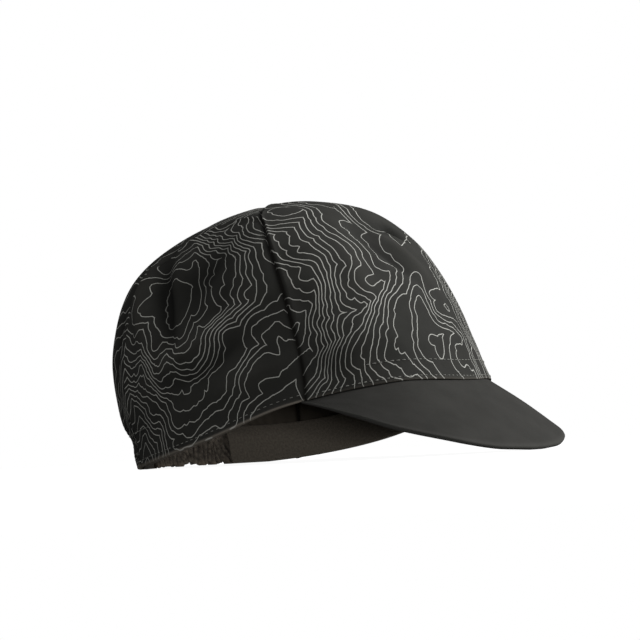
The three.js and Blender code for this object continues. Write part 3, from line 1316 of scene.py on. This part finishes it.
    def fold_depth(self, side: Array, ahead: Array) -> Array:
        """How deep the cloth lies in its creases and gathers, which sets the painted shade in creases and
        gather folds and the painted highlight on ridges.

        Args:
            side: The grid's places towards the wearer's left.
            ahead: The grid's places towards the front.

        Returns:
            1 in a deep fold, and less than 0 on ridges.
        """
        gathers, climb = self.shape.gathers, self.shape.climb(side, ahead)
        behind = self.shape.from_back(side, ahead)
        ridges = gathers.relief(behind, climb, 1.0) - gathers.relief(behind, climb, 0.0)
        creased = self.shape.hollows(side, ahead) / self.deep_fold
        return creased - self.gather_shade * ridges / gathers.depth

    def panel(self, cut: PanelCut, number: int) -> None:
        """Makes one panel: its cloth turns in at the seams and puckers along them.

        Args:
            cut: The panel's cut.
            number: Its number, which varies its puckers.
        """
        side, ahead = cut.places()
        start, end, up, down = self.cloth_runs(side, ahead)
        band = self.shape.band_height
        fullness = blend(self.hem_seam, 1, smooth_step(up, band, 2 * band))
        stand = self.seam_relief(cut, number, (start, end, up, down)) * fullness
        outer_way = self.shape.outward(self.shape.smooth, side, ahead)
        outer = self.shape.face(side, ahead, Layer.OUTER) + stand[..., None] * outer_way
        at_seam = bell(np.minimum(np.minimum(start, end), down), self.seam_width)
        inner_depth = self.shape.wall - self.dent_share * np.minimum(stand, 0)
        inner_depth += self.turned_in * fullness * at_seam
        inner = self.shape.inside(side, ahead, inner_depth, Layer.INNER)
        lift = self.shape.gathers.lift(self.shape.from_back(side, ahead))
        for face in (outer, inner):
            face[..., 2] += lift * bell(up, self.lift_height)
        # Painted shade in creases, gather folds and along the seams
        depth = self.fold_depth(side, ahead)
        hollow = np.clip(depth, 0, 1) + self.seam_shade * at_seam
        at_edge = bell(np.minimum(np.minimum(start, end), up), self.seam_wear_width)
        # Lighter for wear at the seams and hem edge, with a painted highlight along the hem
        wear = self.seam_wear * at_edge + cut.hem_highlight * bell(up, self.hem_highlight_width)
        # Painted highlight on ridges
        wear += self.ridge_highlight * np.clip(-depth, 0, 1)
        place = self.printed_place(cut, side, ahead, start)
        name = "cloth_" + cut.name
        piece = Shell(name, outer, inner, place, printed=True, wear=wear, hollow=hollow).build()
        self.wardrobe.dress(piece, PRINTED_CLOTH, cut.name)

    def build(self) -> None:
        """Makes the panels."""
        for number, cut in enumerate(self.cuts()):
            self.panel(cut, number)


@dataclass
class HemLining:
    """The sweatband and the gathered elastic casing inside the hem."""

    shape: CrownShape
    wardrobe: Wardrobe
    gap: float = 0.4
    radius: float = 89.0
    rows: int = 16
    band_columns: int = 420
    band_wall: float = 1.6
    band_gap: float = 0.25
    band_hollow: Waves = Waves(seed=54, height=0.25, run=16, rise=12)
    band_top: Waves = Waves(seed=51, height=0.5, run=24)
    band_roll: float = 0.3
    band_roll_height: float = 2.5
    band_clearance: float = 0.8
    band_wear: float = 0.3
    casing_columns: int = 300
    casing_wall: float = 2.0
    casing_wear: float = 1.8
    ruffle_pitch: float = 3.3
    ruffle_depth: float = 1.3
    ruffle_shade: float = 1.1
    ruffle_wander: Waves = Waves(seed=52, height=1.2, run=6, rise=9)
    ruffle_size: Waves = Waves(seed=53, height=0.25, run=5, rise=9)
    uneven_shade: Waves = Waves(seed=55, height=0.5, run=3.1, rise=3.7)
    end_shade: float = 0.7
    end_width: float = 3.0
    wear_height: float = 1.6
    roundness: float = 0.5
    lowest: float = 0.02

    def grid(self, turns: tuple[float, float], columns: int) -> tuple[Array, Array, Array]:
        """Lays out a strip's grid.

        Args:
            turns: Where the strip starts and ends, in degrees from the front.
            columns: How many columns of faces the grid has.

        Returns:
            The turn in radians, the height and the distance along the hem of each place.
        """
        turn = across_grid(np.radians(np.linspace(*turns, columns + 1)), self.rows + 1)
        climb = up_grid(np.linspace(0, self.shape.band_height, self.rows + 1), columns + 1)
        return turn, climb, turn * self.radius

    def strip(
        self,
        name: str,
        finish: ClothFinish,
        place: Array,
        disc: tuple[Array, Array],
        depths: tuple[Array, Array],
        **looks: Array,
    ) -> None:
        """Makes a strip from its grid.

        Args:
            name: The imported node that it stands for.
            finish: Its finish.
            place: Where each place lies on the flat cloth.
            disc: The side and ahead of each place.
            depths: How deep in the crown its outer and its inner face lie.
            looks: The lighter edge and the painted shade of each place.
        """
        outer, inner = (self.shape.inside(*disc, depth, Layer.LINING) for depth in depths)
        for face in (outer, inner):
            face[..., 2] = np.maximum(face[..., 2], self.lowest)
        piece = Shell("cloth_" + name, outer, inner, place, roundness=self.roundness, **looks).build()
        self.wardrobe.dress(piece, finish, name)

    def sweatband(self) -> None:
        """Makes the smooth strip round the front, with a slightly wavy upper edge."""
        end = self.shape.elastic_turn - self.band_clearance
        turn, climb, run = self.grid((-end, end), self.band_columns)
        climb = climb + self.band_top.at(run) * (climb / self.shape.band_height) ** 2
        top = smooth_step(climb, self.shape.band_height - self.band_roll_height, self.shape.band_height)
        depth = self.shape.wall + self.gap + self.band_gap + self.band_hollow.at(run, climb)
        depth += self.band_roll * top
        wall = self.band_wall - self.band_roll * top
        self.strip(
            "sweatband",
            BAND_CLOTH,
            np.stack([run, climb], -1),
            self.shape.place_at(turn, climb),
            (depth, depth + wall),
            wear=self.band_wear * bell(climb, self.wear_height),
        )

    def casing(self) -> None:
        """Makes the strip round the back, which the elastic draws into ruffles."""
        end = self.shape.elastic_turn
        turn, climb, run = self.grid((end, 360 - end), self.casing_columns)
        phase = 2 * math.pi * (run / self.ruffle_pitch + self.ruffle_wander.at(run, climb))
        fold = 0.5 - 0.5 * np.cos(phase)
        size = 1 - self.ruffle_size.height + self.ruffle_size.at(run, climb)
        depth = self.shape.wall + self.gap + self.ruffle_depth * fold * size
        # Painted shade in the ruffles' valleys, patchy, and a painted shadow at each end of the casing
        uneven_shade = self.uneven_shade.height + self.uneven_shade.at(run, climb)
        hollow = self.ruffle_shade * (1 - fold) * uneven_shade
        from_end = np.minimum(run - run[:, :1], run[:, -1:] - run)
        hollow += self.end_shade * bell(from_end, self.end_width)
        behind = self.shape.from_back(*self.shape.place_at(turn, climb))
        climb = climb + self.shape.gathers.lift(behind) * (1 - climb / self.shape.band_height) ** 3
        self.strip(
            "elastic_casing",
            CASING_CLOTH,
            np.stack([run, climb], -1),
            self.shape.place_at(turn, climb),
            (depth, depth + self.casing_wall),
            wear=self.casing_wear * bell(climb, self.wear_height),
            hollow=hollow,
        )

    def build(self) -> None:
        """Makes both strips."""
        self.sweatband()
        self.casing()


@dataclass
class Peak:
    """The short down-turned peak."""

    shape: CrownShape
    wardrobe: Wardrobe
    wall: float = 2.2
    corner_wall: float = 1.0
    thins_from: float = 0.8
    reach: float = 35.5
    half_width: float = 75.0
    arch: float = 2.0
    seam_gap: float = 0.3
    corner_shade: float = 0.4
    corner_shade_span: tuple[float, float] = (0.35, 0.95)
    slack: Waves = Waves(seed=61, height=0.22, run=1 / 4.2, rise=1 / 1.6, shift=(8, 3))
    cloth_run: float = 100.0
    cloth_depth: float = 50.0
    rim_lighter_width: float = 1.3
    roundness: float = 0.9
    lowest: float = 0.03
    step: float = 0.004
    rows: int = 44
    columns: int = 180
    alongs: tuple[float, ...] = (-0.3, 0, 0.15, 0.3, 0.5, 0.7, 0.85, 0.94, 1)
    sides: tuple[float, ...] = (-0.4, 0, 0.19, 0.4, 0.66, 0.885, 0.97, 0.99, 0.955)
    aheads: tuple[float, ...] = (0.94, 1, 0.986, 0.94, 0.82, 0.585, 0.36, 0.19, -0.01)
    heights: tuple[float, ...] = (0.04, 0, 0.01, 0.04, 0.16, 0.365, 0.6, 0.78, 0.94)

    def thickness(self, along: Array) -> Array:
        """The peak's thickness, which is least at its corners."""
        return blend(self.wall, self.corner_wall, smooth_step(np.abs(along), self.thins_from, 1))

    def rim_height(self, along: Array) -> Array:
        """Finds the height of the rim's lower edge.

        Args:
            along: From -1 at the wearer's right corner to 1 at the left.

        Returns:
            Heights above the floor.
        """
        share = Table(self.alongs, self.heights).read(np.abs(along))
        hem = self.shape.hem(along * math.radians(self.shape.corner_turn))
        return np.maximum(share, 0) * hem

    def top_face(self, along: Array, out: Array) -> Array:
        """Points of the upper face.

        Args:
            along: From -1 at the wearer's right corner to 1 at the left.
            out: From 0 at the hem to 1 at the rim.

        Returns:
            Points in millimetres.
        """
        turn = along * math.radians(self.shape.corner_turn)
        crown = self.shape
        root = crown.smooth(np.sin(turn), np.cos(turn))
        root = root - crown.wall * crown.outward(crown.smooth, np.sin(turn), np.cos(turn))
        root[..., 2] -= self.seam_gap
        corner = crown.front * math.cos(math.radians(crown.corner_turn))
        side = Table(self.alongs, self.sides).read(np.abs(along))
        ahead = Table(self.alongs, self.aheads).read(np.abs(along))
        rim = np.stack(
            [
                np.sign(along) * self.half_width * side + crown.origin[0],
                -corner - (crown.front + self.reach - corner) * ahead + crown.origin[1],
                self.rim_height(along) + self.thickness(along),
            ],
            -1,
        )
        point = blend(root, rim, out[..., None])
        point[..., 2] += self.arch * np.sin(out * math.pi) * np.cos(along * math.pi / 2)
        return point

    def build(self) -> None:
        """Makes the peak, its rows running from the rim to the hem."""
        along = across_grid(np.linspace(-1, 1, self.columns + 1), self.rows + 1)
        out = 1 - up_grid(np.linspace(0, 1, self.rows + 1), self.columns + 1)
        farther, nearer = np.minimum(out + self.step, 1), np.maximum(out - self.step, 0)
        forward = self.top_face(along, farther) - self.top_face(along, nearer)
        sideways = self.top_face(along + self.step, out) - self.top_face(along - self.step, out)
        up = unit(np.cross(forward, sideways))
        top = self.top_face(along, out) + up * self.slack.at(along, out)[..., None]
        bottom = top - up * self.thickness(along)[..., None]
        bottom[..., 2] = np.maximum(bottom[..., 2], self.lowest)
        from_rim = (1 - out) * self.cloth_depth
        place = np.stack([along * self.cloth_run, from_rim], -1)
        # Lighter along the rim
        wear = bell(from_rim, self.rim_lighter_width)
        # Painted shade towards the peak's corners
        hollow = self.corner_shade * smooth_step(np.abs(along), *self.corner_shade_span)
        shell = Shell("cloth_peak", top, bottom, place, roundness=self.roundness, wear=wear, hollow=hollow)
        self.wardrobe.dress(shell.build(), PEAK_CLOTH, "peak")


@dataclass(frozen=True)
class StitchRow:
    """A row of stitches along the crown, at a height above the hem."""

    name: str
    finish: ClothFinish
    turns: tuple[float, float]
    climb: float
    length: float = 1.7
    space: float = 1.2
    radius: float = 0.19
    sides: int = 6
    samples: int = 1200
    ticks: tuple[float, ...] = (0.0, 0.12, 0.5, 0.88, 1.0)
    thickness: tuple[float, ...] = (0.35, 0.9, 1.0, 0.9, 0.35)
    arch: tuple[float, ...] = (-0.25, 0.1, 0.22, 0.1, -0.25)
    twist: float = 0.2

    def threads(self, shape: CrownShape) -> tuple[Array, Array, Array]:
        """Finds the middle of each stitch's thread.

        Args:
            shape: The crown that the stitches lie on.

        Returns:
            Distances along the row, points, and outward directions, at each tick of each stitch.
        """
        turn = np.radians(np.linspace(*self.turns, self.samples))
        side, ahead = shape.place_at(turn, np.full_like(turn, self.climb))
        points = shape.face(side, ahead, Layer.OUTER)
        ways = shape.outward(shape.smooth, side, ahead)
        run = np.concatenate([[0], np.cumsum(np.linalg.norm(np.diff(points, axis=0), axis=-1))])
        starts = np.arange(0.5, run[-1] - self.length, self.length + self.space)
        at = starts[:, None] + np.array(self.ticks) * self.length
        centre = np.stack([np.interp(at, run, points[:, k]) for k in range(3)], -1)
        way = unit(np.stack([np.interp(at, run, ways[:, k]) for k in range(3)], -1))
        return at, centre, way

    def build(self, shape: CrownShape, wardrobe: Wardrobe) -> None:
        """Makes the stitches, each a short rod that arches out of the cloth.

        Args:
            shape: The crown that they lie on.
            wardrobe: What dresses them.
        """
        at, centre, way = self.threads(shape)
        along = unit(centre[:, -1:] - centre[:, :1])
        across = unit(np.cross(np.broadcast_to(along, way.shape), way))
        centre = centre + way * np.array(self.arch)[:, None]
        angle = np.linspace(0, 2 * math.pi, self.sides, endpoint=False)
        across, way = across[:, :, None, :], way[:, :, None, :]
        ring = across * np.cos(angle)[:, None] + way * np.sin(angle)[:, None]
        thick = np.array(self.thickness) * self.radius
        rods = centre[:, :, None, :] + ring * thick[:, None, None]
        index = np.arange(at.size * self.sides).reshape(*at.shape, self.sides)
        around = np.roll(index, -1, axis=2)
        quads = np.stack([index[:, :-1], index[:, 1:], around[:, 1:], around[:, :-1]], -1)
        faces = quads.reshape(-1, 4).tolist()
        faces += index[:, 0].tolist() + index[:, -1, ::-1].tolist()
        mesh = bpy.data.meshes.new(self.name)
        mesh.from_pydata((rods.reshape(-1, 3) * MM).tolist(), [], faces)
        place = np.stack(np.broadcast_arrays(at[:, :, None], angle * self.twist, 0.0), -1)
        mesh.attributes.new(PLACE, "FLOAT_VECTOR", "POINT").data.foreach_set("vector", place.ravel())
        mesh.update()
        mesh.shade_smooth()
        wardrobe.dress(stand_in_scene(self.name, mesh), self.finish)


STITCH_ROWS = (
    StitchRow("stitches_peak_joint", GREY_THREAD, (-54, 54), 1.5, length=1.5, space=1.3),
    StitchRow("stitches_front_band", GREY_THREAD, (-37, 37), 9.0, length=1.9, space=1.1),
    StitchRow("stitches_hem_right", GREY_THREAD, (-178, -58), 2.6, space=1.6, radius=0.15),
    StitchRow("stitches_hem_left", GREY_THREAD, (58, 178), 2.6, space=1.6, radius=0.15),
    StitchRow("stitches_casing", GREY_THREAD, (112, 248), 16.0, length=2.2, space=0.8, radius=0.14),
)


@dataclass(frozen=True)
class Lamp:
    """A soft light aimed at the cap, in degrees round it, metres and watts."""

    name: str
    azimuth: float
    height: float
    distance: float
    size: tuple[float, float]
    power: float


@dataclass
class Studio:
    """The floor, the lights and the camera."""

    azimuth: float = -53.24
    elevation: float = -3.84
    roll: float = -3.08
    target: tuple[float, float, float] = (-8.88, -4.43, 68.93)
    distance: float = 901.6
    focal_pixels: float = 1828.9
    image_pixels: float = 640.0
    sensor: float = 36.0
    nearest: float = 0.01
    floor_rings: tuple[float, ...] = (0.35, 0.7)
    floor_sides: int = 48
    floor_glow: float = 0.96
    floor_light: float = 0.04
    floor_shade: float = 0.15
    sky_light: float = 0.06
    aim_height: float = 0.06
    lamps: tuple[Lamp, ...] = (
        Lamp("key", azimuth=45, height=0.85, distance=1.25, size=(0.4, 0.4), power=32),
        Lamp("low", azimuth=-46, height=0.012, distance=1.0, size=(0.25, 0.02), power=2.25),
        Lamp("rear", azimuth=-135, height=1.2, distance=0.6, size=(0.2, 0.2), power=5),
    )

    def direction(self, azimuth: float, elevation: float) -> Vector:
        """Finds the direction from the cap towards a viewer.

        Args:
            azimuth: The viewer's turn round the cap, in degrees.
            elevation: How high the viewer stands, in degrees.

        Returns:
            The direction, of length 1.
        """
        turn, lift = math.radians(azimuth), math.radians(elevation)
        return Vector(
            (math.sin(turn) * math.cos(lift), -math.cos(turn) * math.cos(lift), math.sin(lift))
        )

    def camera(self) -> None:
        """Makes the camera, at the photo's angle and just above the floor."""
        data = bpy.data.cameras.new("camera")
        data.sensor_width = self.sensor
        data.lens = self.sensor * self.focal_pixels / self.image_pixels
        data.clip_start = self.nearest
        thing = stand_in_scene("camera", data)
        away = self.direction(self.azimuth, self.elevation)
        level = (-away).cross(Vector((0, 0, 1))).normalized()
        upright = level.cross(-away)
        cosine, sine = math.cos(math.radians(self.roll)), math.sin(math.radians(self.roll))
        right, up = level * cosine + upright * sine, upright * cosine - level * sine
        place = (Vector(self.target) + away * self.distance) * MM
        turn = Matrix((right, up, away)).transposed().to_4x4()
        thing.matrix_world = Matrix.Translation(place) @ turn
        bpy.context.scene.camera = thing

    def light(self, lamp: Lamp) -> None:
        """Makes one of the lights.

        Args:
            lamp: Its place, its size and its power.
        """
        data = bpy.data.lights.new(lamp.name, "AREA")
        data.shape = "RECTANGLE"
        data.size, data.size_y = lamp.size
        data.energy = lamp.power
        thing = stand_in_scene(lamp.name, data)
        thing.location = self.direction(lamp.azimuth, 0) * lamp.distance + Vector((0, 0, lamp.height))
        away = thing.location - Vector((0, 0, min(lamp.height, self.aim_height)))
        thing.rotation_euler = away.to_track_quat("Z", "Y").to_euler()

    def floor_material(self) -> bpy.types.Material:
        """Makes the floor's plain material, which glows for the camera alone.

        Returns:
            The material.
        """
        material = bpy.data.materials.new("floor")
        material.use_nodes = True
        graph = Graph(material.node_tree)
        seen = graph.add("LightPath", "Is Camera Ray")
        glow = graph.math("MULTIPLY_ADD", seen, self.floor_glow - self.floor_light, self.floor_light)
        shader = graph.tree.nodes.new("ShaderNodeBsdfPrincipled")
        shader.inputs["Base Color"].default_value = (*[self.floor_shade] * 3, 1)
        shader.inputs["Roughness"].default_value = 1.0
        shader.inputs["Specular IOR Level"].default_value = 0.0
        shader.inputs["Emission Color"].default_value = (1, 1, 1, 1)
        graph.feed(shader.inputs["Emission Strength"], glow)
        leave = graph.tree.nodes.new("ShaderNodeOutputMaterial")
        graph.feed(leave.inputs["Surface"], shader.outputs["BSDF"])
        return material

    def floor(self) -> None:
        """Makes the plain pale floor, a round disc of a few rings of faces."""
        sides = self.floor_sides
        turns = [2 * math.pi * k / sides for k in range(sides)]
        points = [(0.0, 0.0, 0.0)]
        for ring in self.floor_rings:
            points += [(ring * math.cos(turn), ring * math.sin(turn), 0.0) for turn in turns]
        faces: list[tuple[int, ...]] = [(0, 1 + k, 1 + (k + 1) % sides) for k in range(sides)]
        for step in range(len(self.floor_rings) - 1):
            near, far = 1 + step * sides, 1 + (step + 1) * sides
            for k in range(sides):
                after = (k + 1) % sides
                faces.append((near + k, far + k, far + after, near + after))
        mesh = bpy.data.meshes.new("floor")
        mesh.from_pydata(points, [], faces)
        mesh.materials.append(self.floor_material())
        thing = stand_in_scene("floor", mesh)

    def world(self) -> None:
        """Lights the scene softly from all round, in front of a white backdrop."""
        world = bpy.data.worlds.new("studio")
        bpy.context.scene.world = world
        world.use_nodes = True
        graph = Graph(world.node_tree)
        seen = graph.add("LightPath", "Is Camera Ray")
        strength = graph.math("MULTIPLY_ADD", seen, 1 - self.sky_light, self.sky_light)
        shine = graph.add("Background", in0=(1, 1, 1, 1), in1=strength)
        leave = graph.tree.nodes.new("ShaderNodeOutputWorld")
        graph.feed(leave.inputs["Surface"], shine)

    def build(self) -> None:
        """Makes the studio."""
        self.camera()
        self.floor()
        self.world()
        for lamp in self.lamps:
            self.light(lamp)
        bpy.context.scene.view_settings.view_transform = "Standard"


def main() -> None:
    """Loads the frame, builds the cap's pieces around it and keeps both sizes."""
    logging.basicConfig(level=logging.INFO, format="%(name)s: %(message)s")
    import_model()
    Studio().build()
    wardrobe = Wardrobe(Effects())
    low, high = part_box("peak")
    peak_tip = CrownShape.front + Peak.reach
    shape = CrownShape(origin=((low.x + high.x) / 2 / MM, low.y / MM + peak_tip))
    Crown(shape, wardrobe).build()
    HemLining(shape, wardrobe).build()
    Peak(shape, wardrobe).build()
    for row in STITCH_ROWS:
        row.build(shape, wardrobe)


if __name__ == "__main__":
    main()
